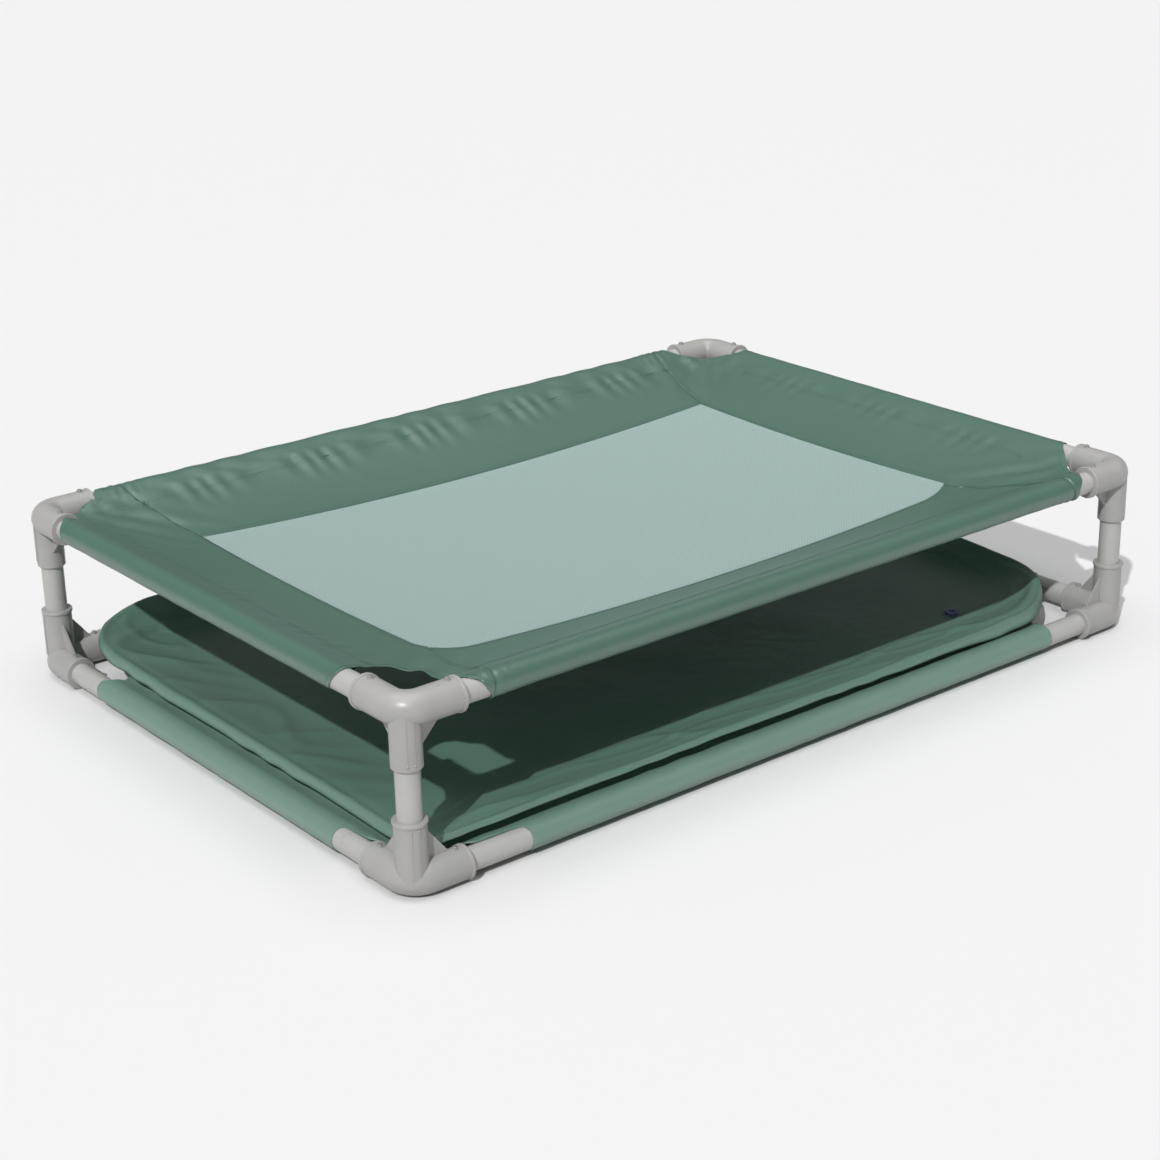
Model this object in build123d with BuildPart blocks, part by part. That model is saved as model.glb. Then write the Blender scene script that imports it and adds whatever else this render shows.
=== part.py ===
"""Elevated dog bed: a mesh sling on a pipe frame, over a lower deck that carries a soft water tub.

Millimetres. X runs along the long side, Y along the short side, +Z is up.
The origin is on the floor, under the middle of the bed. -Y is the front, -X is the left.
"""

from build123d import *
from math import hypot, sqrt
import os

os.makedirs("parts", exist_ok=True)

# Frame, measured between pipe axes
frame_length = 1300.0
frame_width = 916.0
deck_rise = 224.0

# PVC pipe
pipe_diameter = 32.0
pipe_wall = 2.6
socket_clearance = 0.1

# Rail sockets of the three-way corner fittings
arm_diameter = 44.0
arm_length = 80.0
rail_stop = 38.0
leg_stop = 30.0
bend_radius = 26.0
leg_inset = 6.5
lip_diameter = 47.0
lip_width = 5.0
lip_round = 1.2
foot_flat = 0.6
gusset_thickness = 3.6

# Leg sockets and gussets of the top fittings
top_socket_diameter = 40.4
top_socket_length = 76.0
top_socket_root = 2.0
top_mouth_chamfer = 2.0
top_gusset_run = 53.0
top_gusset_drop = 50.0

# Leg sockets and gussets of the bottom fittings
bottom_socket_diameter = 41.6
bottom_socket_length = 80.0
bottom_socket_toe = 9.0
bottom_socket_toe_round = 5.0
bottom_lip_diameter = 45.0
bottom_gusset_run = 57.0
bottom_gusset_rise = 60.0

# Moulded ribs on the outside of each leg socket, as angles from the front
rib_angles = (-3.5, -31.5)
rib_width = 1.6
rib_height = 0.9
rib_root = 8.0
rib_end_gap = 9.0
rib_nub_diameter = 3.4

# Self-tapping screws that lock the rails into the fittings
screw_reach = 65.0
screw_boss_diameter = 9.0
screw_boss_height = 1.4
screw_head_diameter = 7.0
screw_head_height = 2.2
screw_head_round = 1.2
screw_shank_diameter = 3.6
screw_shank_length = 14.0
screw_hole_clearance = 0.05

# Coated cloth of the sling
cloth = 1.0
sleeve_clearance = 0.3
stitch_reach = 46.0
border_width = 168.0
sleeve_tail = 2.2
seam_gap = 0.2
notch_depth = 95.0

# Bare rail between a fitting's mouth and the sling's sleeve, at each corner
sling_bare = {
    "front_left": 38.0,
    "front_right": 25.0,
    "back_right": 20.0,
    "back_left": 12.0,
}

# Hang of the mesh below the rail axes, at its corners and at its middle
mesh_corner_drop = 28.0
mesh_middle_drop = 52.0
mesh_thickness = 1.0

# Lower deck, one hemmed sheet
deck_cloth = 0.8
deck_sleeve_gap_long = 182.0
deck_sleeve_gap_short = 153.0
deck_notch_depth = 118.0

# Soft tub on the lower deck: how far its floor and its rim stand in from the rail axes
tub_floor_left = 150.0
tub_floor_right = 62.0
tub_floor_front = 96.0
tub_floor_back = 50.0
tub_rim_left = 28.0
tub_rim_right = 44.0
tub_rim_front = 24.0
tub_rim_back = 28.0

# Height of the tub's rim above the deck, at the middle of three of its sides
tub_height_left = 24.0
tub_height_right = 40.0
tub_height_front = 14.0
tub_wall = 1.6
tub_floor_radius = 60.0
tub_rim_radius = 85.0

# Drain in the tub's floor, with its place from the right and the front rail axes
drain_from_right = 225.0
drain_from_front = 120.0
drain_flange_diameter = 30.0
drain_flange_thickness = 1.4
drain_neck_diameter = 17.0
drain_neck_length = 9.0
drain_neck_clearance = 0.15
drain_bore_diameter = 12.6
deck_drain_clearance = 2.0
plug_cap_diameter = 20.0
plug_cap_thickness = 3.4
plug_cap_round = 1.0
plug_dish_diameter = 11.0
plug_dish_depth = 1.2
plug_stem_length = 8.0
plug_clearance = 0.08

# Sizes that follow from the ones above
pipe_radius = pipe_diameter / 2
arm_radius = arm_diameter / 2
bore_radius = pipe_radius + socket_clearance
half_length = frame_length / 2
half_width = frame_width / 2
bottom_axis = lip_diameter / 2 - foot_flat
top_axis = bottom_axis + deck_rise
screw_hole_radius = screw_shank_diameter / 2 + screw_hole_clearance
sleeve_inner = pipe_radius + sleeve_clearance
sleeve_outer = sleeve_inner + cloth
mesh_half_length = half_length - border_width
mesh_half_width = half_width - border_width
deck_top = bottom_axis + sleeve_inner + (cloth + deck_cloth) / 2

# Corners and sides of the frame, anticlockwise. Each side runs from its own corner to the next.
corners = ("front_left", "front_right", "back_right", "back_left")
sides = ("front", "right", "back", "left")


def write(piece, name):
    """Label a finished piece and write it to a STEP file of its own."""
    piece.label = name
    export_step(piece, f"parts/{name}.step")


def at_corner(corner, height):
    """The place where the rail axes of a corner cross, with +X and +Y turned along the rails."""
    x = -half_length if corner.endswith("left") else half_length
    y = -half_width if corner.startswith("front") else half_width
    return Location((x, y, height), (0, 0, 90 * corners.index(corner)))


def span_of(side):
    """Distance between the corners at the two ends of a side."""
    return frame_length if side in ("front", "back") else frame_width


def at_side(side, height):
    """The middle of a side's rail axis, with +X turned along the rail and +Y turned inwards."""
    inset = half_width if side in ("front", "back") else half_length
    turned = Location((0, 0, height), (0, 0, 90 * sides.index(side)))
    return turned * Location((0, -inset, 0))


def lip(diameter):
    """Rounded bead for the mouth of a socket. Its face is on the origin, looking along +Z."""
    with BuildPart() as bead:
        with BuildSketch():
            Circle(diameter / 2)
            Circle(bore_radius, mode=Mode.SUBTRACT)
        extrude(amount=-lip_width)
        fillet(bead.edges().filter_by(GeomType.CIRCLE).sort_by(SortBy.RADIUS)[-2:], lip_round)
    return bead.part


def ribs(up, radius, length):
    """Two ribs for the outside of a leg socket, each ending in a small nub before the mouth."""
    rib_end = length - rib_end_gap
    with BuildPart() as pair:
        for angle in rib_angles:
            out = Vector(0, -radius, 0).rotate(Axis.Z, angle)
            with BuildSketch(Plane.XY.offset(up * rib_root)):
                with Locations(Location((out.X, out.Y), angle)):
                    Rectangle(rib_width, 2 * rib_height)
            extrude(amount=up * (rib_end - rib_root))
            with Locations((out.X, out.Y, up * rib_end)):
                Sphere(rib_nub_diameter / 2)
    return pair.part


# Corner fittings: each is a bent pair of rail sockets, a leg socket and two gussets.
# The rail axes cross at the origin and run along +X and +Y; the leg goes along +Z or -Z.


def corner_fitting(up, leg_socket, socket_radius, socket_length, gusset_run, gusset_height):
    """A moulding round its leg socket. up is 1 for a leg above the arms, -1 for one below."""
    arm_x = Plane(origin=(bend_radius, 0, 0), x_dir=(0, 1, 0), z_dir=(1, 0, 0))
    arm_y = Plane(origin=(0, bend_radius, 0), x_dir=(1, 0, 0), z_dir=(0, 1, 0))
    leg = Plane((leg_inset, leg_inset, 0))
    arm_lip = lip(lip_diameter)
    with BuildPart() as fitting:
        # Two arms and the bend between them
        for arm in (arm_x, arm_y):
            with BuildSketch(arm):
                Circle(arm_radius)
            extrude(amount=arm_length - bend_radius)
        with BuildSketch(arm_x):
            Circle(arm_radius)
        revolve(axis=Axis((bend_radius, bend_radius, 0), (0, 0, -1)), revolution_arc=90)

        add(leg_socket.moved(leg.location))

        # Gussets, each in the plane of the leg and one arm
        gusset_x = Plane((0, leg_inset / 2, 0), x_dir=(1, 0, 0), z_dir=(0, -1, 0))
        gusset_y = Plane((leg_inset / 2, 0, 0), x_dir=(0, 1, 0), z_dir=(1, 0, 0))
        for gusset in (gusset_x, gusset_y):
            with BuildSketch(gusset):
                Polygon(
                    (leg_inset, 0),
                    (gusset_run, 0),
                    (gusset_run, up * arm_radius),
                    (leg_inset + socket_radius, up * gusset_height),
                    (leg_inset, up * gusset_height),
                    align=None,
                )
            extrude(amount=gusset_thickness / 2, both=True)

        # Rounded beads round the rail mouths
        for arm in (arm_x, arm_y):
            add(arm_lip.moved(arm.offset(arm_length - bend_radius).location))

        # Screw bosses on top of the arms
        with BuildSketch():
            with Locations((screw_reach, 0), (0, screw_reach)):
                Circle(screw_boss_diameter / 2)
        extrude(amount=arm_radius + screw_boss_height)

        # Rail and leg bores, and the screw holes
        for arm in (arm_x, arm_y):
            with BuildSketch(arm.offset(rail_stop - bend_radius)):
                Circle(bore_radius)
            extrude(amount=arm_length - rail_stop, mode=Mode.SUBTRACT)
        with BuildSketch(leg.offset(up * leg_stop)):
            Circle(bore_radius)
        extrude(amount=up * (socket_length - leg_stop), mode=Mode.SUBTRACT)
        with BuildSketch():
            with Locations((screw_reach, 0), (0, screw_reach)):
                Circle(screw_hole_radius)
        extrude(amount=arm_radius + screw_boss_height, mode=Mode.SUBTRACT)
    return fitting.part


# Leg socket of a top fitting: it hangs down, and its mouth is chamfered
top_socket_radius = top_socket_diameter / 2
top_ribs = ribs(-1, top_socket_radius, top_socket_length)
with BuildPart() as top_socket:
    with BuildSketch(Plane.XY.offset(top_socket_root)):
        Circle(top_socket_radius)
    extrude(amount=-top_socket_root - top_socket_length)
    chamfer(top_socket.faces().sort_by(Axis.Z)[0].edges(), top_mouth_chamfer)
    add(top_ribs)

# Leg socket of a bottom fitting: it stands up with a bead round its mouth, and its rounded toe
# shows through the outside of the bend
bottom_socket_radius = bottom_socket_diameter / 2
bottom_ribs = ribs(1, bottom_socket_radius, bottom_socket_length)
leg_lip = lip(bottom_lip_diameter)
with BuildPart() as bottom_socket:
    with BuildSketch(Plane.XY.offset(-bottom_socket_toe)):
        Circle(bottom_socket_radius)
    extrude(amount=bottom_socket_toe + bottom_socket_length)
    fillet(bottom_socket.faces().sort_by(Axis.Z)[0].edges(), bottom_socket_toe_round)
    add(leg_lip.moved(Location((0, 0, bottom_socket_length))))
    add(bottom_ribs)

top_fitting = corner_fitting(
    -1, top_socket.part, top_socket_radius, top_socket_length, top_gusset_run, top_gusset_drop
)
bottom_moulding = corner_fitting(
    1,
    bottom_socket.part,
    bottom_socket_radius,
    bottom_socket_length,
    bottom_gusset_run,
    bottom_gusset_rise,
)

# The beads under the bottom arms are trimmed flat, so that the bed stands without rocking
with BuildPart() as bottom_fitting:
    add(bottom_moulding)
    split(bisect_by=Plane.XY.offset(-bottom_axis), keep=Keep.TOP)

for corner in corners:
    write(top_fitting.moved(at_corner(corner, top_axis)), f"top_fitting_{corner}")
    write(bottom_fitting.part.moved(at_corner(corner, bottom_axis)), f"bottom_fitting_{corner}")


# Pipes: rails from stop to stop with a screw hole near each end, and four legs


def rail(span):
    """A rail along X, centred on the origin, for fittings whose axes are span apart."""
    with BuildPart() as tube:
        with BuildSketch(Plane.YZ):
            Circle(pipe_radius)
            Circle(pipe_radius - pipe_wall, mode=Mode.SUBTRACT)
        extrude(amount=span / 2 - rail_stop, both=True)
        with BuildSketch():
            with Locations((span / 2 - screw_reach, 0), (screw_reach - span / 2, 0)):
                Circle(screw_hole_radius)
        extrude(amount=arm_radius, mode=Mode.SUBTRACT)
    return tube.part


for side in sides:
    for level, height in (("top", top_axis), ("bottom", bottom_axis)):
        write(rail(span_of(side)).moved(at_side(side, height)), f"{level}_rail_{side}")

with BuildPart() as leg:
    with BuildSketch(Plane((leg_inset, leg_inset, leg_stop))):
        Circle(pipe_radius)
        Circle(pipe_radius - pipe_wall, mode=Mode.SUBTRACT)
    extrude(amount=deck_rise - 2 * leg_stop)

for corner in corners:
    write(leg.part.moved(at_corner(corner, bottom_axis)), f"leg_{corner}")

# Screws: pan heads on the bosses, two to a fitting, one node for each level
with BuildPart() as screw:
    with BuildSketch(Plane.XY):
        Circle(screw_head_diameter / 2)
    extrude(amount=screw_head_height)
    fillet(screw.edges().sort_by(Axis.Z)[-1], screw_head_round)
    with BuildSketch(Plane.XY):
        Circle(screw_shank_diameter / 2)
    extrude(amount=-screw_shank_length)

seat = arm_radius + screw_boss_height
for level, height in (("top", top_axis), ("bottom", bottom_axis)):
    screws = []
    for corner in corners:
        for spot in ((screw_reach, 0, seat), (0, screw_reach, seat)):
            screws.append(screw.part.moved(at_corner(corner, height) * Location(spot)))
    write(Compound(children=screws), f"{level}_rail_screws")


# Sling: four borders of coated cloth, sewn into sleeves round the top rails, and a mesh panel


def corner_notch(gap_x, gap_y, depth):
    """Concave cut-out at a corner on the origin, through both sleeve ends and (depth, depth)."""
    with BuildSketch() as notch:
        with BuildLine():
            ThreePointArc((gap_x, 0), (depth, depth), (0, gap_y))
            Polyline((0, gap_y), (-cloth, gap_y), (-cloth, -cloth), (gap_x, -cloth), (gap_x, 0))
        make_face()
    return notch.sketch


def sleeve_section(reach, height, inner, outer):
    """Teardrop section of a sleeve: round the pipe, and closed along a row of stitches."""
    with BuildSketch(Plane.YZ) as teardrop:
        Circle(outer)
        with Locations((reach, height)):
            Circle(sleeve_tail / 2)
        make_hull()
    with BuildSketch(Plane.YZ) as pocket:
        Circle(inner)
        with Locations((reach - 3 * cloth, height)):
            Circle(cloth / 10)
        make_hull()
    return teardrop.sketch - pocket.sketch


# The mesh hangs as a shallow dish, part of a sphere through its corners and its middle
mesh_reach = hypot(mesh_half_length, mesh_half_width)
mesh_sag = mesh_middle_drop - mesh_corner_drop
dish_radius = (mesh_reach**2 + mesh_sag**2) / (2 * mesh_sag)


def dish_height(distance):
    """Height of the hanging mesh above the rail axes, at a distance from the bed's middle."""
    return dish_radius - sqrt(dish_radius**2 - distance**2) - mesh_middle_drop


def border(span, mesh_half, mesh_distance, gap_start, gap_end):
    """One border, for a rail along X through the origin with the mesh on the +Y side."""
    stitch_half = span / 2 - stitch_reach - seam_gap
    mesh_half = mesh_half - seam_gap
    stitch_plane = Plane((0, stitch_reach, 0), x_dir=(1, 0, 0), z_dir=(0, -1, 0))
    seam_plane = stitch_plane.offset(stitch_reach - border_width + seam_gap)
    corner_z = dish_height(hypot(mesh_half, mesh_distance))
    middle_z = dish_height(mesh_distance)
    half = cloth / 2
    sleeve = sleeve_section(stitch_reach, 0, sleeve_inner, sleeve_outer)
    with BuildSketch(Plane.XY.offset(-deck_rise / 2)) as notches:
        add(corner_notch(gap_start, gap_start, notch_depth).moved(Location((-span / 2, 0, 0))))
        end_notch = corner_notch(gap_end, gap_end, notch_depth)
        add(end_notch.moved(Location((span / 2, 0, 0), (0, 0, 90))))

    # Flap from the stitches down to the edge of the mesh, mitred to its neighbours
    with BuildPart() as flap:
        with BuildSketch(stitch_plane):
            Rectangle(2 * stitch_half, cloth)
        with BuildSketch(seam_plane):
            with BuildLine():
                ThreePointArc(
                    (-mesh_half, corner_z + half), (0, middle_z + half), (mesh_half, corner_z + half)
                )
                Line((mesh_half, corner_z + half), (mesh_half, corner_z - half))
                ThreePointArc(
                    (mesh_half, corner_z - half), (0, middle_z - half), (-mesh_half, corner_z - half)
                )
                Line((-mesh_half, corner_z - half), (-mesh_half, corner_z + half))
            make_face()
        loft(ruled=True)
        extrude(notches.sketch, amount=deck_rise, mode=Mode.SUBTRACT)

    # Sleeve round the rail, with the same cut-outs, joined to the flap
    with BuildPart() as strip:
        sleeve_start = Location((gap_start - span / 2, 0, 0))
        extrude(sleeve.moved(sleeve_start), amount=span - gap_start - gap_end, dir=(1, 0, 0))
        extrude(notches.sketch, amount=deck_rise, mode=Mode.SUBTRACT)
        add(flap.part)
    return strip.part


for index, side in enumerate(sides):
    if side in ("front", "back"):
        mesh_half, mesh_distance = mesh_half_length, mesh_half_width
    else:
        mesh_half, mesh_distance = mesh_half_width, mesh_half_length
    gap_start = arm_length + sling_bare[corners[index]]
    gap_end = arm_length + sling_bare[corners[(index + 1) % 4]]
    strip = border(span_of(side), mesh_half, mesh_distance, gap_start, gap_end)
    write(strip.moved(at_side(side, top_axis)), f"sling_border_{side}")

with BuildPart() as mesh_panel:
    with BuildSketch(Plane.XZ.offset(0)):
        with BuildLine():
            under = top_axis - mesh_thickness / 2
            over = top_axis + mesh_thickness / 2
            middle = mesh_reach / 2
            rim = mesh_reach + 1
            ThreePointArc(
                (0, dish_height(0) + under),
                (middle, dish_height(middle) + under),
                (rim, dish_height(rim) + under),
            )
            Line((rim, dish_height(rim) + under), (rim, dish_height(rim) + over))
            ThreePointArc(
                (rim, dish_height(rim) + over),
                (middle, dish_height(middle) + over),
                (0, dish_height(0) + over),
            )
            Line((0, dish_height(0) + over), (0, dish_height(0) + under))
        make_face()
    revolve(axis=Axis.Z)
    with BuildSketch():
        Rectangle(2 * mesh_half_length, 2 * mesh_half_width)
    extrude(amount=2 * top_axis, mode=Mode.INTERSECT)
write(mesh_panel.part, "mesh_panel")

# Lower deck: one sheet across the bottom rails, hemmed into a sleeve round each of them, with a
# hole for the neck of the tub's drain
deck_notch = corner_notch(deck_sleeve_gap_long, deck_sleeve_gap_short, deck_notch_depth)
drain_spot = (half_length - drain_from_right, drain_from_front - half_width)
with BuildPart() as lower_deck:
    with BuildSketch(Plane.XY.offset(deck_top - deck_cloth)):
        Rectangle(frame_length, frame_width)
        with Locations(drain_spot):
            Circle(drain_neck_diameter / 2 + deck_drain_clearance, mode=Mode.SUBTRACT)
    extrude(amount=deck_cloth)
    with BuildSketch(Plane.XY.offset(deck_top - 2 * cloth)):
        add(deck_notch.moved(Location((-half_length, -half_width, 0))))
        mirror(about=Plane.YZ)
        mirror(about=Plane.XZ)
    extrude(amount=4 * cloth, mode=Mode.SUBTRACT)
    for side in sides:
        gap = deck_sleeve_gap_long if side in ("front", "back") else deck_sleeve_gap_short
        rail_axis = Plane(at_side(side, bottom_axis) * Location((0, 0, 0), (0, 90, 0)))
        with BuildSketch(rail_axis):
            Circle(sleeve_outer)
        extrude(amount=span_of(side) / 2 - gap, both=True)
    for side in sides:
        rail_axis = Plane(at_side(side, bottom_axis) * Location((0, 0, 0), (0, 90, 0)))
        with BuildSketch(rail_axis):
            Circle(sleeve_inner)
        extrude(amount=span_of(side) / 2, both=True, mode=Mode.SUBTRACT)
write(lower_deck.part, "lower_deck")

# Tub: a soft tray that lies on the deck. Its walls have settled outwards, most of all on the left
# and the front, and its rim slopes up to the back and the right


def tub_outline(plane, left, right, front, back, radius):
    """Rounded outline of the tub on a plane, from its distances to the four rail axes."""
    width = frame_length - left - right
    depth = frame_width - front - back
    with BuildSketch(plane) as outline:
        with Locations(((left - right) / 2, (front - back) / 2)):
            RectangleRounded(width, depth, radius)
    return outline.sketch


tub_floor = (tub_floor_left, tub_floor_right, tub_floor_front, tub_floor_back)
tub_rim = (tub_rim_left, tub_rim_right, tub_rim_front, tub_rim_back)
tub_middle_height = (tub_height_left + tub_height_right) / 2
tub_height_back = 2 * tub_middle_height - tub_height_front
tub_heights = (tub_height_left, tub_height_right, tub_height_front, tub_height_back)
rim_slope_x = (tub_height_right - tub_height_left) / frame_length
rim_slope_y = (tub_height_back - tub_height_front) / frame_width
floor_plane = Plane.XY.offset(deck_top)
rim_plane = Plane(
    (0, 0, deck_top + tub_middle_height),
    x_dir=(1, 0, rim_slope_x),
    z_dir=(-rim_slope_x, -rim_slope_y, 1),
)

# Level thickness of each leaning wall at the rim, and what is left of it just above the floor
inner_floor = []
inner_rim = []
for floor, rim, height in zip(tub_floor, tub_rim, tub_heights):
    level_wall = tub_wall * hypot(floor - rim, height) / height
    inner_rim.append(rim + level_wall)
    inner_floor.append(floor + level_wall - tub_wall * (floor - rim) / height)

tub_outside = [
    tub_outline(floor_plane, *tub_floor, tub_floor_radius),
    tub_outline(rim_plane, *tub_rim, tub_rim_radius),
]
tub_inside = [
    tub_outline(floor_plane.offset(tub_wall), *inner_floor, tub_floor_radius),
    tub_outline(rim_plane, *inner_rim, tub_rim_radius - tub_wall),
]
with BuildPart() as tub:
    loft(tub_outside, ruled=True)
    loft(tub_inside, ruled=True, mode=Mode.SUBTRACT)
    with BuildSketch(floor_plane):
        with Locations(drain_spot):
            Circle(drain_neck_diameter / 2 + drain_neck_clearance)
    extrude(amount=2 * tub_wall, mode=Mode.SUBTRACT)
write(tub.part, "tub_liner")

# Drain: a flanged neck through the floor, and a dished plug that pulls straight up out of it
drain_seat = Plane((*drain_spot, deck_top + tub_wall))
plug_seat = drain_seat.offset(drain_flange_thickness)
with BuildPart() as drain_neck:
    with BuildSketch(drain_seat):
        Circle(drain_flange_diameter / 2)
    extrude(amount=drain_flange_thickness)
    with BuildSketch(drain_seat):
        Circle(drain_neck_diameter / 2)
    extrude(amount=-drain_neck_length)
    with BuildSketch(plug_seat):
        Circle(drain_bore_diameter / 2)
    extrude(amount=-drain_flange_thickness - drain_neck_length, mode=Mode.SUBTRACT)
write(drain_neck.part, "drain_neck")

with BuildPart() as drain_plug:
    with BuildSketch(plug_seat):
        Circle(plug_cap_diameter / 2)
    extrude(amount=plug_cap_thickness)
    fillet(drain_plug.faces().sort_by(Axis.Z)[-1].edges(), plug_cap_round)
    with BuildSketch(plug_seat.offset(plug_cap_thickness)):
        Circle(plug_dish_diameter / 2)
    extrude(amount=-plug_dish_depth, mode=Mode.SUBTRACT)
    with BuildSketch(plug_seat):
        Circle(drain_bore_diameter / 2 - plug_clearance)
    extrude(amount=-plug_stem_length)
write(drain_plug.part, "drain_plug")
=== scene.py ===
import math

import bmesh
import bpy
from mathutils import Matrix, Vector


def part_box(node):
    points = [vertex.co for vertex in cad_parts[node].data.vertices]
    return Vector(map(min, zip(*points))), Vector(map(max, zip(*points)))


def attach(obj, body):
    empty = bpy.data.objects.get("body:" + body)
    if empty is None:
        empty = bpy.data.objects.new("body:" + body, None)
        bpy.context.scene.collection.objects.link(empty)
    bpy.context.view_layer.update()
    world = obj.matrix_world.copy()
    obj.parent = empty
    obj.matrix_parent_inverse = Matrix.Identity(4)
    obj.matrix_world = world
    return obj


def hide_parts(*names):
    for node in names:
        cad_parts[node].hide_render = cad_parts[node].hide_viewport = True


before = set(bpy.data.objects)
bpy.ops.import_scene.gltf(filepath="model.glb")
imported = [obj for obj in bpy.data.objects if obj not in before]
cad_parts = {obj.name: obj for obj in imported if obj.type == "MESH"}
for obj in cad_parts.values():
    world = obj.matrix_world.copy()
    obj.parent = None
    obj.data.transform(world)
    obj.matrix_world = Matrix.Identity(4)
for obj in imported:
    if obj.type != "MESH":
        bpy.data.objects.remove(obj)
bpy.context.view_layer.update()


# Stage
# A plain pale floor that reaches well behind the bed, a key lamp from the front left that throws
# clear-edged shadows, and a pale sky that is brighter overhead. The camera stands in front of the
# bed's front left corner and looks down on it.
def paint(red, green, blue):
    """A colour from a paint chart, each part from 0 to 255, for a shader."""
    parts = [part / 255 for part in (red, green, blue)]
    return (*[((part + 0.055) / 1.055) ** 2.4 if part > 0.04045 else part / 12.92 for part in parts], 1)


def coat(name, colour, roughness):
    """A new material with one shader, and that shader."""
    material = bpy.data.materials.new(name)
    material.use_nodes = True
    shader = material.node_tree.nodes["Principled BSDF"]
    shader.inputs["Base Color"].default_value = colour
    shader.inputs["Roughness"].default_value = roughness
    return material, shader


def brush(material, kind, feeds, **settings):
    """Adds one node to a material or to the sky, set up and fed, and returns it."""
    new = material.node_tree.nodes.new(kind)
    for setting, value in settings.items():
        setattr(new, setting, value)
    for socket, value in feeds.items():
        if isinstance(value, bpy.types.NodeSocket):
            material.node_tree.links.new(value, new.inputs[socket])
        else:
            new.inputs[socket].default_value = value
    return new


def feed(material, shader, socket, source):
    """Feeds one socket of a shader, on a material or on the sky, from a node."""
    material.node_tree.links.new(source, shader.inputs[socket])


def mottle(material, shader, pattern, dark, light):
    """Colours a material unevenly, from a darker to a lighter colour along a pattern."""
    tone = brush(material, "ShaderNodeMix", {"Factor": pattern, "A": dark, "B": light}, data_type="RGBA")
    feed(material, shader, "Base Color", tone.outputs[2])


def shown(name, form, material):
    """Makes a piece of a bmesh, with smooth faces."""
    mesh = bpy.data.meshes.new(name)
    form.to_mesh(mesh)
    form.free()
    mesh.materials.append(material)
    mesh.shade_smooth()
    piece = bpy.data.objects.new(name, mesh)
    bpy.context.scene.collection.objects.link(piece)
    return piece


floor_pale = paint(234, 234, 234)
floor_dull = paint(205, 205, 205)
floor_paint, floor_shader = coat("floor_paint", floor_pale, 0.9)
floor_shader.inputs["Specular IOR Level"].default_value = 0.1
# it looks pale to the camera and in gloss, and throws less light back up than it would if it were
rays = brush(floor_paint, "ShaderNodeLightPath", {})
seen = brush(
    floor_paint, "ShaderNodeMath",
    {0: rays.outputs["Is Camera Ray"], 1: rays.outputs["Is Glossy Ray"]}, operation="MAXIMUM",
)
seen = brush(
    floor_paint, "ShaderNodeMath",
    {0: seen.outputs[0], 1: rays.outputs["Is Transmission Ray"]}, operation="MAXIMUM",
)
mottle(floor_paint, floor_shader, seen.outputs[0], floor_dull, floor_pale)
floor_reach = 20
floor_form = bmesh.new()
bmesh.ops.create_grid(floor_form, x_segments=1, y_segments=1, size=floor_reach)
floor = shown("floor", floor_form, floor_paint)

key = bpy.data.objects.new("key", bpy.data.lights.new("key", "SUN"))
key.data.energy = 2.25
key.data.angle = math.radians(1.2)
key.rotation_euler = Vector((0.89, 0.6, -1)).to_track_quat("-Z", "Y").to_euler()
bpy.context.scene.collection.objects.link(key)

sky = bpy.data.worlds.new("sky")
sky.use_nodes = True
bpy.context.scene.world = sky
sky_glow = sky.node_tree.nodes["Background"]
sky_glow.inputs["Color"].default_value = (1, 1, 1, 1)
sky_side = brush(sky, "ShaderNodeTexCoord", {}).outputs["Generated"]
sky_height = brush(sky, "ShaderNodeSeparateXYZ", {"Vector": sky_side}).outputs["Z"]
sky_light = brush(
    sky, "ShaderNodeMapRange",
    {"Value": sky_height, "From Min": 0.86, "From Max": 0.93, "To Min": 0.18, "To Max": 2.4},
)
feed(sky, sky_glow, "Strength", sky_light.outputs[0])

camera = bpy.data.objects.new("camera", bpy.data.cameras.new("camera"))
camera.data.lens = 72.78
camera.data.sensor_width = 36
heading = Matrix.Rotation(math.radians(-38.5), 4, "Z")
tilt = Matrix.Rotation(math.radians(68.77), 4, "X")
roll = Matrix.Rotation(math.radians(-1.279), 4, "Z")
camera.matrix_world = Matrix.Translation((-2.0386, -2.5415, 1.376)) @ heading @ tilt @ roll
bpy.context.scene.collection.objects.link(camera)
bpy.context.scene.camera = camera
bpy.context.scene.view_settings.view_transform = "Standard"


# Pipes
# Eight rails and four legs of white-grey plastic pipe, cut square and pushed into the fittings.
# The extruded skin is smooth and satin, with faint marks from handling.
pipe_plastic, pipe_shader = coat("pipe_plastic", paint(185, 184, 181), 0.32)
place_on = brush(pipe_plastic, "ShaderNodeTexCoord", {}).outputs["Object"]
scuffs = brush(
    pipe_plastic, "ShaderNodeTexNoise",
    {"Vector": place_on, "Scale": 14, "Detail": 6, "Roughness": 0.6},
)
mottle(pipe_plastic, pipe_shader, scuffs.outputs["Fac"], paint(176, 175, 172), paint(194, 193, 190))
polish = brush(
    pipe_plastic, "ShaderNodeMapRange",
    {"Value": scuffs.outputs["Fac"], "From Min": 0.3, "From Max": 0.7, "To Min": 0.26, "To Max": 0.4},
)
feed(pipe_plastic, pipe_shader, "Roughness", polish.outputs[0])
drawn = brush(pipe_plastic, "ShaderNodeTexNoise", {"Vector": place_on, "Scale": 160, "Detail": 3})
pipe_skin = brush(
    pipe_plastic, "ShaderNodeBump", {"Height": drawn.outputs["Fac"], "Distance": 0.0001, "Strength": 0.3}
)
feed(pipe_plastic, pipe_shader, "Normal", pipe_skin.outputs[0])


def give(name, material):
    """Gives one of the bed's solid pieces its material."""
    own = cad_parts[name].data.materials
    own.clear()
    own.append(material)


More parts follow.
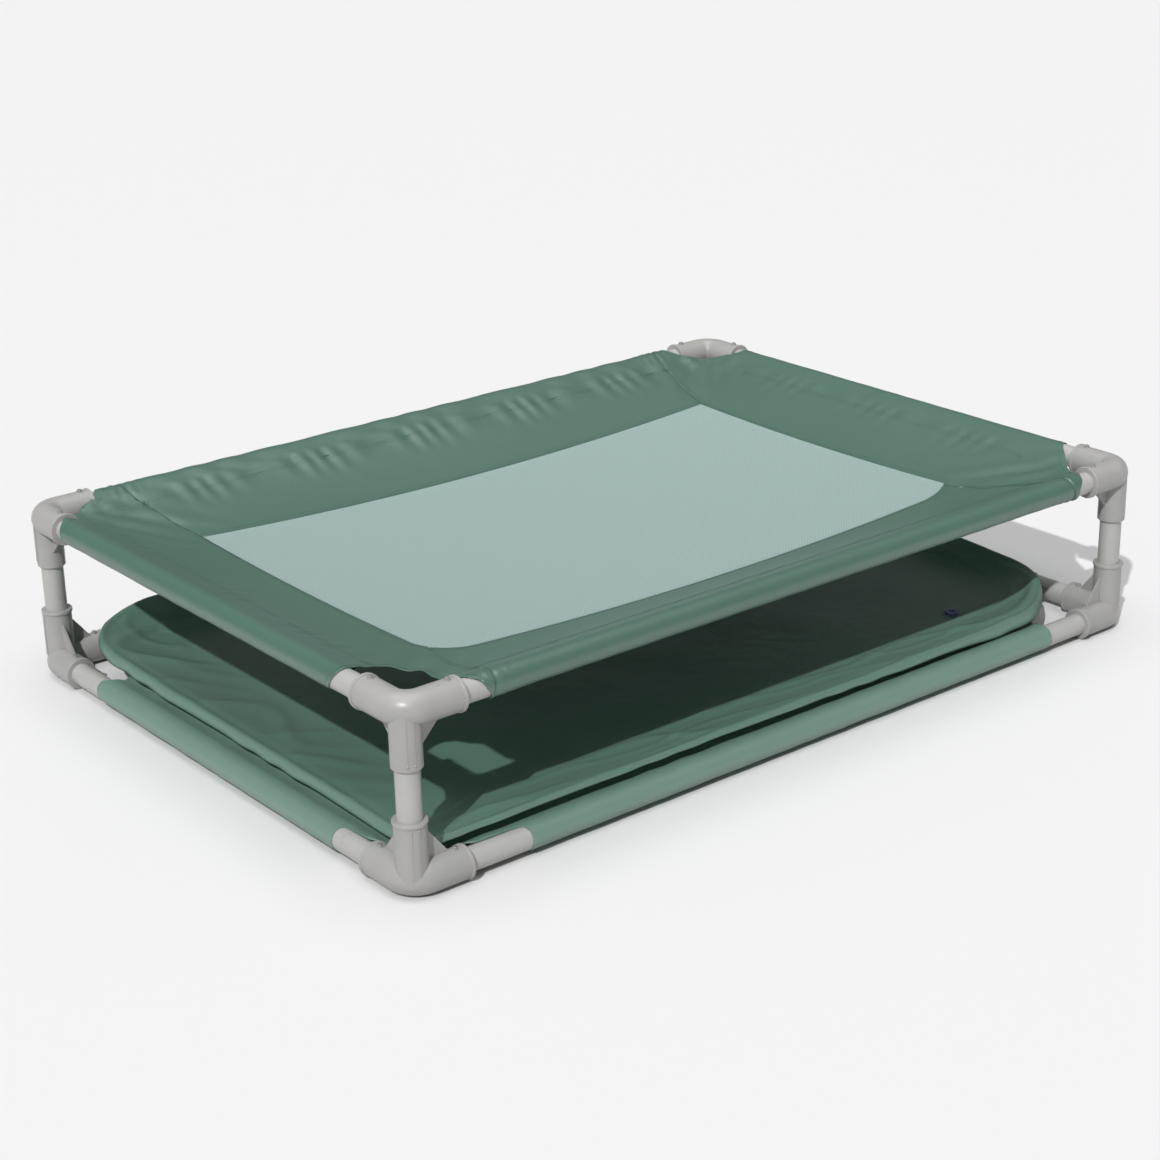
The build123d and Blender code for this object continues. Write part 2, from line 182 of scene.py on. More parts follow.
corners = ("front_left", "front_right", "back_right", "back_left")
sides = ("front", "right", "back", "left")
pipes = [f"{level}_rail_{side}" for level in ("top", "bottom") for side in sides]
pipes += [f"leg_{corner}" for corner in corners]
for name in pipes:
    give(name, pipe_plastic)


# Corner fittings
# Eight three-way fittings moulded in grey plastic, a little darker than the pipe and cloudy in
# tone, with the fine grain of the mould.
fitting_plastic, fitting_shader = coat("fitting_plastic", paint(170, 169, 167), 0.34)
place_on = brush(fitting_plastic, "ShaderNodeTexCoord", {}).outputs["Object"]
cloudy = brush(fitting_plastic, "ShaderNodeTexNoise", {"Vector": place_on, "Scale": 22, "Detail": 5})
mottle(fitting_plastic, fitting_shader, cloudy.outputs["Fac"], paint(162, 161, 159), paint(178, 177, 175))
grain = brush(fitting_plastic, "ShaderNodeTexNoise", {"Vector": place_on, "Scale": 900, "Detail": 2})
fitting_skin = brush(
    fitting_plastic, "ShaderNodeBump", {"Height": grain.outputs["Fac"], "Distance": 0.0002, "Strength": 0.35}
)
feed(fitting_plastic, fitting_shader, "Normal", fitting_skin.outputs[0])
for corner in corners:
    for level in ("top", "bottom"):
        give(f"{level}_fitting_{corner}", fitting_plastic)


# Rail screws
# Sixteen self-tapping steel screws, painted to the fittings' grey, with the paint worn to metal
# on their heads.
screw_paint, screw_shader = coat("screw_paint", paint(156, 155, 153), 0.34)
screw_shader.inputs["Metallic"].default_value = 0.35
place_on = brush(screw_paint, "ShaderNodeTexCoord", {}).outputs["Object"]
worn = brush(screw_paint, "ShaderNodeTexNoise", {"Vector": place_on, "Scale": 420, "Detail": 4})
mottle(screw_paint, screw_shader, worn.outputs["Fac"], paint(138, 137, 135), paint(180, 179, 177))
for level in ("top", "bottom"):
    give(f"{level}_rail_screws", screw_paint)


# Sling borders
# Four strips of coated green cloth. The end strips run the whole width of the bed and take in the
# corners; the front and back strips are sewn under them. Each is hemmed into a sleeve round its rail.
rail_low, rail_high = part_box("top_rail_left")
pipe_radius = (rail_high.x - rail_low.x) / 2
half_length = -(rail_low.x + rail_high.x) / 2
top_axis = (rail_low.z + rail_high.z) / 2
rail_low, rail_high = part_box("top_rail_front")
half_width = -(rail_low.y + rail_high.y) / 2
mesh_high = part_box("mesh_panel")[1]
mesh_half_length = mesh_high.x
mesh_half_width = mesh_high.y
mesh_in = half_width - mesh_half_width

dish_depth = 0.052
dish_rise = 0.024
stitch_in = 0.046
cloth_radius = pipe_radius + 0.0009
touch = math.acos(cloth_radius / stitch_in)
straight_run = math.sqrt(stitch_in**2 - cloth_radius**2)
round_run = 2 * (math.pi - touch) * cloth_radius
sleeve_run = 2 * straight_run + round_run
seam_foot = 0.129
seam_slant = math.atan2(mesh_in - seam_foot, mesh_in)
seam_lap = 0.008

# each cut-out's edge in millimetres, in from the end rail's axis and in from the side rail's axis
sling_cuts = {
    "front_left": [
        (-110, 152), (-60, 146), (-31, 129), (-12, 119), (5, 119), (20, 126), (37, 133), (57, 137),
        (73, 133), (87, 121), (96, 103), (95, 78), (88, 50), (83, 24), (87, 3), (97, -9), (106, -18),
        (111, -27), (120, -46), (126, -110),
    ],
    "front_right": [
        (-110, 114), (-40, 113), (-10, 111), (3, 105), (18, 90), (32, 76), (46, 62), (55, 48), (66, 31),
        (81, 15), (94, -2), (104, -16), (110, -26), (113, -38), (114, -110),
    ],
    "back_right": [
        (-110, 98), (-30, 98), (-10, 96), (3, 91), (16, 79), (29, 64), (42, 50), (58, 38), (75, 28),
        (89, 17), (98, 5), (105, -9), (108, -30), (108, -110),
    ],
    "back_left": [
        (-110, 97), (-42, 96), (-29, 94), (-17, 90), (-7, 83), (8, 68), (26, 48), (44, 31), (58, 23),
        (70, 18), (79, 9), (88, -2), (96, -12), (100, -40), (101, -110),
    ],
}


def round_pipe(run):
    """How far in from the rail's axis and how high over it the cloth is, past its hem stitches."""
    touch_in = cloth_radius * math.cos(touch)
    touch_height = cloth_radius * math.sin(touch)
    if run < straight_run:
        share = run / straight_run
        return stitch_in + share * (touch_in - stitch_in), share * touch_height
    if run < straight_run + round_run:
        angle = touch + (run - straight_run) / cloth_radius
        return cloth_radius * math.cos(angle), cloth_radius * math.sin(angle)
    share = (sleeve_run - run) / straight_run
    return stitch_in + share * (touch_in - stitch_in), -share * touch_height


def ease(value):
    """A smooth step from 0 to 1."""
    value = min(max(value, 0), 1)
    return value * value * (3 - 2 * value)


def dish(x, y):
    """Height of the mesh over the rail axes: the sling hangs deepest in its middle."""
    return dish_rise * (x * x + y * y) / (mesh_half_length**2 + mesh_half_width**2) - dish_depth


def sling_at(x, y):
    """Where a point of the flat sling comes to lie. Past the hem stitches it goes round the rail."""
    in_x = half_length - abs(x)
    in_y = half_width - abs(y)
    if in_x < stitch_in:
        inset, height = round_pipe(stitch_in - in_x)
        return Vector((math.copysign(half_length - inset, x), y, top_axis + height))
    if in_y < stitch_in:
        inset, height = round_pipe(stitch_in - in_y)
        return Vector((x, math.copysign(half_width - inset, y), top_axis + height))
    near = min(in_x, in_y)
    soft = 0.07 * (1 - ease((near - 0.1) / 0.068)) + 0.001
    near -= max(0, 1 - abs(in_x - in_y) / soft) ** 2 * soft / 4
    edge_x = min(max(x, -mesh_half_length), mesh_half_length)
    edge_y = min(max(y, -mesh_half_width), mesh_half_width)
    share = min(max((near - stitch_in) / (mesh_in - stitch_in), 0), 1)
    return Vector((x, y, top_axis + share * dish(edge_x, edge_y)))


def signs_of(corner):
    """Which way a corner lies from the bed's middle, along and across."""
    return (-1 if corner.endswith("left") else 1), (-1 if corner.startswith("front") else 1)


def smooth_line(marks, cuts=4):
    """A smooth line through some marks, with a few short straight runs between each two."""
    ends = [marks[0], *marks, marks[-1]]
    line = []
    for one, two, three, four in zip(ends, ends[1:], ends[2:], ends[3:]):
        for cut in range(cuts):
            t = cut / cuts
            line.append(
                0.5 * (2 * two + (three - one) * t + (2 * one - 5 * two + 4 * three - four) * t**2
                       + (3 * two - one - 3 * three + four) * t**3)
            )
    return [*line, marks[-1]]


def cut_edges(cuts):
    """Each cut-out's edge on the flat cloth, from the end rail round to the side rail."""
    edges = {}
    for corner, marks in cuts.items():
        side_x, side_y = signs_of(corner)
        edges[corner] = smooth_line([
            Vector((side_x * (half_length - along / 1000), side_y * (half_width - across / 1000), 0))
            for along, across in marks
        ])
    return edges


def within(spot, line):
    """Whether a flat spot lies inside a closed line."""
    inside = False
    for one, two in zip(line, [*line[1:], line[0]]):
        if (one.y > spot.y) != (two.y > spot.y):
            if spot.x < one.x + (spot.y - one.y) * (two.x - one.x) / (two.y - one.y):
                inside = not inside
    return inside


def beside_line(spot, line):
    """How far a flat spot is from a line, and how far along the line it is."""
    best = (9.0, 0.0)
    run = 0.0
    for one, two in zip(line, line[1:]):
        length = (two - one).length
        reach = min(max((spot - one).dot(two - one) / length**2, 0), 1)
        best = min(best, ((spot - one.lerp(two, reach)).length, run + reach * length))
        run += length
    return best


beyond_cloth = 0.3
look_round = 0.03
look_ahead = 0.009
look_aside = 0.012


def scrap_of(corner, edge):
    """The closed line round what is cut away at one corner of a flat cloth."""
    side_x, side_y = signs_of(corner)
    far = Vector((side_x * (half_length + beyond_cloth), side_y * (half_width + beyond_cloth), 0))
    return [Vector((far.x, edge[0].y, 0)), *edge, Vector((edge[-1].x, far.y, 0)), far]


def cut_along(form, line):
    """Cuts a flat cloth along a line, in short straight cuts, and keeps both sides."""
    low = Vector((min(spot.x for spot in line) - look_round, min(spot.y for spot in line) - look_round))
    high = Vector((max(spot.x for spot in line) + look_round, max(spot.y for spot in line) + look_round))
    near = set()
    for face in form.faces:
        spot = face.verts[0].co
        if low.x < spot.x < high.x and low.y < spot.y < high.y:
            near.add(face)
    for one, two in zip(line, line[1:]):
        along = (two - one).normalized()
        across = Vector((-along.y, along.x, 0))
        middle = (one + two) / 2
        reach = (two - one).length / 2 + look_ahead
        parts = set()
        for face in near:
            beside = face.verts[0].co - middle
            if abs(beside.dot(across)) < look_aside and abs(beside.dot(along)) < reach:
                parts.add(face)
                parts.update(face.edges)
                parts.update(face.verts)
        if parts:
            made = bmesh.ops.bisect_plane(form, geom=list(parts), plane_co=middle, plane_no=across, dist=1e-6)
            near.update(part for part in made["geom"] if isinstance(part, bmesh.types.BMFace))


def cut_corners(form, edges):
    """Cuts the four corners out of a flat cloth."""
    for corner, edge in edges.items():
        cut_along(form, edge)
        scrap = scrap_of(corner, edge)
        doomed = [face for face in form.faces if within(face.calc_center_median(), scrap)]
        bmesh.ops.delete(form, geom=doomed, context="FACES")


def off_seam(x, y):
    """How far a flat spot is from the nearest slanted seam, more towards the bed's middle."""
    in_x = half_length - abs(x) - seam_foot
    in_y = half_width - abs(y)
    return in_x * math.cos(seam_slant) - in_y * math.sin(seam_slant)


def cloth_finish(name, colour, roughness, wrinkle, weave):
    """Coated cloth: a tight weave under a thin coating, softly creased, a little uneven in tone."""
    material, shader = coat(name, paint(*colour), roughness)
    shader.inputs["Specular IOR Level"].default_value = 1.0
    flat = brush(material, "ShaderNodeUVMap", {}, uv_map="flat").outputs["UV"]
    patches = brush(material, "ShaderNodeTexNoise", {"Vector": flat, "Scale": 5, "Detail": 4})
    darker = tuple(part * 0.93 for part in paint(*colour)[:3]) + (1,)
    lighter = tuple(part * 1.07 for part in paint(*colour)[:3]) + (1,)
    mottle(material, shader, patches.outputs["Fac"], darker, lighter)
    threads = []
    for direction in ("X", "Y"):
        feeds = {"Vector": flat, "Scale": 1 / weave / 3, "Distortion": 0.4}
        threads.append(brush(material, "ShaderNodeTexWave", feeds, bands_direction=direction).outputs["Fac"])
    plies = brush(material, "ShaderNodeMath", {0: threads[0], 1: threads[1]}, operation="ADD")
    woven = brush(
        material, "ShaderNodeBump", {"Height": plies.outputs[0], "Distance": 0.00006, "Strength": 0.5}
    )
    creases = brush(
        material, "ShaderNodeTexNoise",
        {"Vector": flat, "Scale": 11, "Detail": 5, "Roughness": 0.55, "Distortion": 0.6},
    )
    creased = brush(
        material, "ShaderNodeBump",
        {"Height": creases.outputs["Fac"], "Distance": wrinkle, "Strength": 0.6, "Normal": woven.outputs[0]},
    )
    feed(material, shader, "Normal", creased.outputs[0])
    return material


def flat_cloth(left, right, front, back, cell):
    """A flat rectangular cloth in even cells."""
    form = bmesh.new()
    across = round((right - left) / cell)
    deep = round((back - front) / cell)
    bmesh.ops.create_grid(form, x_segments=across, y_segments=deep, size=0.5)
    bmesh.ops.scale(form, vec=(right - left, back - front, 1), verts=form.verts)
    bmesh.ops.translate(form, vec=((left + right) / 2, (front + back) / 2, 0), verts=form.verts)
    return form


def hang(form, at, ruffle):
    """Keeps a flat cloth's layout as its UV map, brings it to its place and ruffles it."""
    layer = form.loops.layers.uv.new("flat")
    for face in form.faces:
        for loop in face.loops:
            loop[layer].uv = loop.vert.co.xy
    flat_spots = [vert.co.xy.copy() for vert in form.verts]
    for vert in form.verts:
        vert.co = at(vert.co.x, vert.co.y)
    form.normal_update()
    lifts = [vert.normal * ruffle(spot.x, spot.y) for vert, spot in zip(form.verts, flat_spots)]
    for vert, lift in zip(form.verts, lifts):
        vert.co += lift


def thicken(piece, thickness):
    """Gives a sheet its real thickness, half to each side."""
    wall = piece.modifiers.new("thickness", "SOLIDIFY")
    wall.thickness = thickness
    wall.offset = 0


sling_edges = cut_edges(sling_cuts)
edge_waves = {"front_left": 0.0008, "front_right": 0.0014, "back_right": 0.0006, "back_left": 0.0016}
gather_depth = 0.0016
slack_depth = 0.0026
flap_hollow = 0.0025


def sling_ruffle(x, y):
    """Height of the sling's puckers and slack over its taut surface."""
    in_x = half_length - abs(x)
    in_y = half_width - abs(y)
    rail_in = min(in_x, in_y)
    lift = 0.0
    along, rail = (x, in_y) if in_y < in_x else (y, in_x)
    if rail > stitch_in - 0.02:
        # puckers across the hem stitches, strongest at the back
        strength = 0.0012 if in_y < in_x and y > 0 else 0.0006
        wave = math.sin(along * 150 + 3 * math.sin(along * 31)) + 0.6 * math.sin(along * 87 + 40 * rail)
        lift += strength * wave * math.exp(-(((rail - stitch_in) / 0.03) ** 2))
    else:
        # on the pipe the cloth only lifts: slanting pulls at the back, gathers beside the seams
        slant = 0.5 + 0.5 * math.sin(along * 74 - rail * 60 + 2 * math.sin(along * 17))
        pull = 0.0011 if in_y < in_x and y > 0 else 0.0003
        lift += pull * slant
        gather = math.exp(-((off_seam(x, y) / 0.03) ** 2)) if in_y < in_x else 0.0
        lift += gather_depth * gather * (0.5 + 0.5 * math.sin(along * 420 + rail * 70))
    # slack folds that run from the corners to the mesh
    if in_x < 0.3 and in_y < 0.3 and rail_in > stitch_in:
        spread = (in_x - in_y) / 0.045
        slack = math.exp(-(spread**2) / 3) * ease((rail_in - stitch_in) / 0.03)
        lift += slack_depth * math.cos(spread * 4.2) * slack
    # the flaps hollow a little between stitches and mesh
    if stitch_in < rail_in < mesh_in:
        share = (rail_in - stitch_in) / (mesh_in - stitch_in)
        lift = lift * (1 - share**2) - flap_hollow * math.sin(math.pi * share)
    elif rail_in >= mesh_in:
        lift = 0.0
    # and their edges wave where nothing holds them, at the cut-outs
    if in_x < 0.2 and in_y < 0.2:
        corner = ("front_" if y < 0 else "back_") + ("left" if x < 0 else "right")
        gap, run = beside_line(Vector((x, y, 0)), sling_edges[corner])
        loose = edge_waves[corner] * math.exp(-((gap / 0.028) ** 2))
        lift += loose * (0.5 + 0.5 * math.sin(run * 190)) * (0.4 if rail_in < stitch_in - 0.02 else 1)
    return lift


# the mesh's window, with its front left corner rounded and its front edge bowed at the right
window_round = 0.060
bow_run = 0.080
bow_depth = 0.028
window_steps = 8
window = []
for step in range(window_steps + 1):
    angle = math.pi * (1 + step / window_steps / 2)
    window.append(
        Vector((-mesh_half_length + window_round * (1 + math.cos(angle)),
                -mesh_half_width + window_round * (1 + math.sin(angle)), 0))
    )
for step in range(window_steps + 1):
    share = step / window_steps
    window.append(
        Vector((mesh_half_length - bow_run * (1 - share), -mesh_half_width + bow_depth * share**2, 0))
    )
window.append(Vector((mesh_half_length, mesh_half_width, 0)))
window.append(Vector((-mesh_half_length, mesh_half_width, 0)))

outer_x = half_length - stitch_in + sleeve_run
outer_y = half_width - stitch_in + sleeve_run
border_cloth = cloth_finish("border_cloth", (78, 112, 99), 0.36, 0.0016, 0.0011)
border_thickness = 0.0008
border_cell = 0.005
tuck_depth = 0.0010
spare = 0.070
strip_end = half_length - seam_foot + 0.04
strips = {
    "front": (-strip_end, strip_end, -outer_y, -mesh_half_width + spare),
    "back": (-strip_end, strip_end, mesh_half_width - spare, outer_y),
    "left": (-outer_x, -mesh_half_length + spare, -outer_y, outer_y),
    "right": (mesh_half_length - spare, outer_x, -outer_y, outer_y),
}
for side, (left, right, front, back) in strips.items():
    form = flat_cloth(left, right, front, back, border_cell)
    lengthwise = side in ("front", "back")
    for corner in corners:
        if side not in corner:
            continue
        side_x, side_y = signs_of(corner)
        inward = Vector((-side_x * math.cos(seam_slant), side_y * math.sin(seam_slant), 0))
        foot = Vector((side_x * (half_length - seam_foot), side_y * half_width, 0))
        bmesh.ops.bisect_plane(
            form, geom=[*form.verts, *form.edges, *form.faces], dist=1e-6,
            plane_co=foot - inward * (seam_lap if lengthwise else 0), plane_no=inward,
            clear_inner=lengthwise, clear_outer=not lengthwise,
        )
    cut_corners(form, {corner: edge for corner, edge in sling_edges.items() if side in corner})
    cut_along(form, [*window, window[0]])
    doomed = [face for face in form.faces if within(face.calc_center_median(), window)]
    bmesh.ops.delete(form, geom=doomed, context="FACES")
    cut_area = sum(face.calc_area() for face in form.faces)
    tuck = tuck_depth if lengthwise else 0.0
    hang(form, sling_at, lambda x, y: sling_ruffle(x, y) - tuck * ease(1 - off_seam(x, y) / 0.010))
    strip = shown(f"sling_strip_{side}", form, border_cloth)
    thicken(strip, border_thickness)
    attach(strip, "bed")
    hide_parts(f"sling_border_{side}")


# Sling mesh
# One open-weave panel, let in between the borders so that air passes. It is sewn under their
# edges and hangs as a shallow dish.
mesh_cloth, mesh_shader = coat("sling_mesh", paint(160, 183, 179), 0.62)
flat = brush(mesh_cloth, "ShaderNodeUVMap", {}, uv_map="flat").outputs["UV"]
turned = brush(mesh_cloth, "ShaderNodeMapping", {"Vector": flat, "Rotation": (0, 0, math.radians(45))})
yarn = []
for direction in ("X", "Y"):
    yarn.append(
        brush(
            mesh_cloth, "ShaderNodeTexWave",
            {"Vector": turned.outputs[0], "Scale": 84, "Distortion": 0.3}, bands_direction=direction,
        ).outputs["Fac"]
    )
# the holes are not cut through: where both yarn waves peak the panel is painted darker, as painted shade from
# under the sling showing through, and dented
holes_and_their_shade = brush(mesh_cloth, "ShaderNodeMath", {0: yarn[0], 1: yarn[1]}, operation="MULTIPLY")
mottle(mesh_cloth, mesh_shader, holes_and_their_shade.outputs[0], paint(158, 180, 177), paint(140, 162, 159))
open_weave = brush(
    mesh_cloth, "ShaderNodeBump", {"Height": holes_and_their_shade.outputs[0], "Distance": 0.0004, "Strength": 0.5},
    invert=True,
)
feed(mesh_cloth, mesh_shader, "Normal", open_weave.outputs[0])

mesh_thickness = 0.0008
mesh_under = 0.0014
mesh_cell = 0.012
mesh_tuck = 0.010
mesh_form = flat_cloth(
    -mesh_half_length - mesh_tuck, mesh_half_length + mesh_tuck,
    -mesh_half_width - mesh_tuck, mesh_half_width + mesh_tuck, mesh_cell,
)
hang(mesh_form, lambda x, y: sling_at(x, y) - Vector((0, 0, mesh_under)), lambda x, y: 0.0)
sling_mesh = shown("sling_mesh_panel", mesh_form, mesh_cloth)
thicken(sling_mesh, mesh_thickness)
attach(sling_mesh, "bed")
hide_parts("mesh_panel")


# Sling stitching
# Double rows of stout thread at the hems, at the slanted seams and round the mesh, one row round
# each cut-out, and crossed bar-tacks where the hem rows end.
thread, thread_shader = coat("thread", paint(70, 96, 84), 0.6)
place_on = brush(thread, "ShaderNodeTexCoord", {}).outputs["Object"]
twist = brush(thread, "ShaderNodeTexNoise", {"Vector": place_on, "Scale": 2600, "Detail": 2})
thread_skin = brush(
    thread, "ShaderNodeBump", {"Height": twist.outputs["Fac"], "Distance": 0.0001, "Strength": 0.5}
)
feed(thread, thread_shader, "Normal", thread_skin.outputs[0])

thread_width = 0.0008
thread_height = 0.0006
thread_lift = 0.00055
feel_ahead = 0.0008
sewn_at_once = 40


def stitch(row, spot, along, at, length):
    """Adds one stitch to a short length of a row: a slim grain of thread that lies on the cloth."""
    here = at(spot.x, spot.y)
    ahead = (at(spot.x + along.x, spot.y + along.y) - here).normalized()
    aside = (at(spot.x - along.y, spot.y + along.x) - here).normalized()
    up = ahead.cross(aside).normalized()
    aside = up.cross(ahead)
    turn = Matrix((ahead, aside, up)).transposed().to_4x4()
    grain = Matrix.Diagonal((length / 2, thread_width / 2, thread_height / 2, 1))
    lay = Matrix.Translation(here + up * thread_lift) @ turn @ grain @ Matrix.Rotation(math.pi / 2, 4, "Y")
    bmesh.ops.create_uvsphere(row, u_segments=6, v_segments=3, radius=1, matrix=lay)


def sew(form, line, at, keep, pitch=0.0034, length=0.0025):
    """Sews one row of stitches along a line on the flat cloth, and places them."""
    spots = []
    left_over = pitch / 2
    for one, two in zip(line, line[1:]):
        run = (two - one).length
        along = (two - one).normalized()
        while left_over < run:
            spot = one + along * left_over
            if keep(spot):
                spots.append((spot, along * feel_ahead))
            left_over += pitch
        left_over -= run
    for first in range(0, len(spots), sewn_at_once):
        row = bmesh.new()
        for spot, along in spots[first:first + sewn_at_once]:
            stitch(row, spot, along, at, length)
        sewn = bpy.data.meshes.new("sewn")
        row.to_mesh(sewn)
        row.free()
        form.from_mesh(sewn)
        bpy.data.meshes.remove(sewn)


cuts_within = 0.2
bare_edge = 0.003


def off_cuts(spot):
    """Whether a spot of the flat sling is clear of the cut-outs."""
    for corner, edge in sling_edges.items():
        side_x, side_y = signs_of(corner)
        if side_x * spot.x < half_length - cuts_within or side_y * spot.y < half_width - cuts_within:
            continue
        if within(spot, scrap_of(corner, edge)) or beside_line(spot, edge)[0] < bare_edge:
            return False
    return True


def shifted(line, gap):
    """A line moved sideways, to its left."""
    moved = []
    for index, spot in enumerate(line):
        along = line[min(index + 1, len(line) - 1)] - line[max(index - 1, 0)]
        along.normalize()
        moved.append(spot + Vector((-along.y, along.x, 0)) * gap)
    return moved


def ruffled_sling(x, y):
    """A spot of the ruffled sling, near enough for a stitch on it."""
    return sling_at(x, y) + Vector((0, 0, sling_ruffle(x, y)))


hem_rows = (stitch_in, stitch_in + 0.005)
seam_rows = (0.003, 0.008)
mesh_rows = (0.004, 0.009)
tack_reach = 0.005
edge_rows = {"front_left": 0.007, "front_right": 0.008, "back_right": 0.008, "back_left": 0.012}
row_ends = 0.150
for side in sides:
    form = bmesh.new()
    sign = -1 if side in ("front", "left") else 1
    for inset in hem_rows:
        if side in ("front", "back"):
            level = sign * (half_width - inset)
            reach = half_length - seam_foot - inset * math.tan(seam_slant)
            line = [Vector((-reach, level, 0)), Vector((reach, level, 0))]
        else:
            level = sign * (half_length - inset)
            reach = half_width - row_ends
            line = [Vector((level, -reach, 0)), Vector((level, reach, 0))]
        sew(form, line, ruffled_sling, off_cuts)
    # bar-tacks cross where the hem rows end
    for end in (line[0], line[1]):
        for lean in (-1, 1):
            across = Vector((tack_reach, lean * tack_reach, 0))
            sew(form, [end - across, end + across], ruffled_sling, off_cuts, 0.0016, 0.0022)
    if side in ("left", "right"):
        for end in (-1, 1):
            corner = ("front_" if end < 0 else "back_") + side
            foot = Vector((sign * (half_length - seam_foot), end * half_width, 0))
            top = Vector((sign * mesh_half_length, end * mesh_half_width, 0))
            low_end = foot.lerp(top, -0.1)
            out = Vector((sign * math.cos(seam_slant), -end * math.sin(seam_slant), 0))
            for gap in seam_rows:
                sew(form, [low_end + out * gap, top + out * gap], ruffled_sling, off_cuts)
            turn = sign * end
            edge_row = shifted(sling_edges[corner], edge_rows[corner] * turn)
            sew(form, edge_row, ruffled_sling, off_cuts)
    rows_of = shown(f"stitches_{side}", form, thread)
    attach(rows_of, "bed")

form = bmesh.new()
for gap in mesh_rows:
    sew(form, shifted([window[-1], *window, window[0]], -gap)[1:], ruffled_sling, off_cuts)
window_rows = shown("stitches_mesh", form, thread)
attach(window_rows, "bed")


# Lower deck
# One sheet of the same cloth, hemmed into a sleeve round each bottom rail, with a wide cut-out at
# each corner but the front left one, where only the sleeves are cut back. It is pulled flat at the
# height of the pipe's top, with a groove beside each rail.
rail_low, rail_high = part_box("bottom_rail_left")
bottom_axis = (rail_low.z + rail_high.z) / 2
# each cut-out's edge in millimetres, in from the end rail's axis and in from the side rail's axis
wide_cut = [
    (-110, 170), (-40, 158), (-5, 155), (20, 152), (45, 143), (68, 131), (89, 115), (104, 102),
    (115, 89), (131, 68), (143, 45), (152, 20), (155, -5), (158, -40), (170, -110),
]
deck_cuts = {
    "front_left": [
        (-110, 150), (-30, 149), (-6, 148), (2, 143), (4, 128), (5, 108), (7, 95), (16, 85), (27, 75),
        (31, 62), (40, 47), (52, 38), (68, 30), (80, 24), (90, 12), (100, 6), (120, 4), (150, 3),
        (167, 0), (172, -10), (173, -30), (173, -110),
    ],
    "front_right": wide_cut,
    "back_right": wide_cut,
    "back_left": [
        (-110, 172), (-40, 160), (-8, 157), (3, 164), (14, 168), (30, 165), (50, 156), (72, 140), (92, 121),
        (108, 103), (125, 80), (138, 55), (146, 28), (152, 0), (156, -40), (168, -110),
    ],
}
deck_edges = cut_edges(deck_cuts)
deck_wrap = math.pi * 1.25
deck_tail = 0.03
deck_sleeve = deck_wrap * cloth_radius + deck_tail
groove_depth = 0.006
groove_in = 0.026
groove_width = 0.009


def deck_at(x, y):
    """Where a point of the flat deck comes to lie. Past a rail's crest it goes round the rail."""
    in_x = half_length - abs(x)
    in_y = half_width - abs(y)
    if in_x < 0 or in_y < 0:
        run = max(-in_x, -in_y)
        angle = min(run / cloth_radius, deck_wrap)
        rest = max(run - deck_wrap * cloth_radius, 0)
        out = cloth_radius * math.sin(angle) + rest * math.cos(angle)
        height = cloth_radius * math.cos(angle) - rest * math.sin(angle)
        if in_x < 0:
            return Vector((math.copysign(half_length + out, x), y, bottom_axis + height))
        return Vector((x, math.copysign(half_width + out, y), bottom_axis + height))
    return Vector((x, y, bottom_axis + cloth_radius))


def deck_ruffle(x, y):
    """Small puckers along the deck's sleeves, and the groove beside each rail."""
    in_x = half_length - abs(x)
    in_y = half_width - abs(y)
    along, rail = (x, in_y) if in_y < in_x else (y, in_x)
    wave = math.sin(along * 95 + 2 * math.sin(along * 23)) + 0.5 * math.sin(along * 61 + 50 * rail)
    groove = groove_depth * math.exp(-(((rail - groove_in) / groove_width) ** 2)) if rail > 0 else 0.0
    return 0.0003 * wave * math.exp(-((rail / 0.05) ** 2)) - groove


deck_cloth = cloth_finish("deck_cloth", (114, 146, 132), 0.42, 0.0008, 0.0011)
deck_cell = 0.0085
deck_x = half_length + deck_sleeve
deck_y = half_width + deck_sleeve
deck_form = flat_cloth(-deck_x, deck_x, -deck_y, deck_y, deck_cell)
cut_corners(deck_form, deck_edges)
deck_area = sum(face.calc_area() for face in deck_form.faces)
hang(deck_form, deck_at, deck_ruffle)
deck = shown("deck_sheet", deck_form, deck_cloth)
thicken(deck, border_thickness)
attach(deck, "bed")
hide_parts("lower_deck")


# Tub
# A soft tub of the same coated cloth, laid loose on the deck. Its low walls have slumped outwards
# in long folds, and its rim is turned down in a hem.
floor_thickness = 0.0020
tub_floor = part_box("tub_liner")[0].z + floor_thickness
tub_floor_box = (-0.500, 0.588, -0.352, 0.408)
tub_rim_box = (-0.626, 0.606, -0.441, 0.430)
# corner radii from the front right corner round to the front left one
floor_radii = (0.120, 0.060, 0.060, 0.050)
rim_radii = (0.160, 0.085, 0.100, 0.045)
arc_steps = 18
long_steps = 150
short_steps = 100
steps_round = 4 * arc_steps + 2 * long_steps + 2 * short_steps


def outline(step, box, radii):
    """A point on a rounded outline, counted anticlockwise from the front side's left end."""
    left, right, front, back = box
    first, second, third, fourth = radii
    centres = [(right - first, front + first), (right - second, back - second),
               (left + third, back - third), (left + fourth, front + fourth)]

    def on_corner(index, quarters):
        angle = math.pi / 2 * quarters
        x, y = centres[index]
        return Vector((x + radii[index] * math.cos(angle), y + radii[index] * math.sin(angle)))

    step %= steps_round
    for index, run in enumerate((long_steps, short_steps, long_steps, short_steps)):
        if step < run:
            return on_corner(index - 1, index - 1).lerp(on_corner(index, index - 1), step / run)
        step -= run
        if step < arc_steps:
            return on_corner(index, index - 1 + step / arc_steps)
        step -= arc_steps


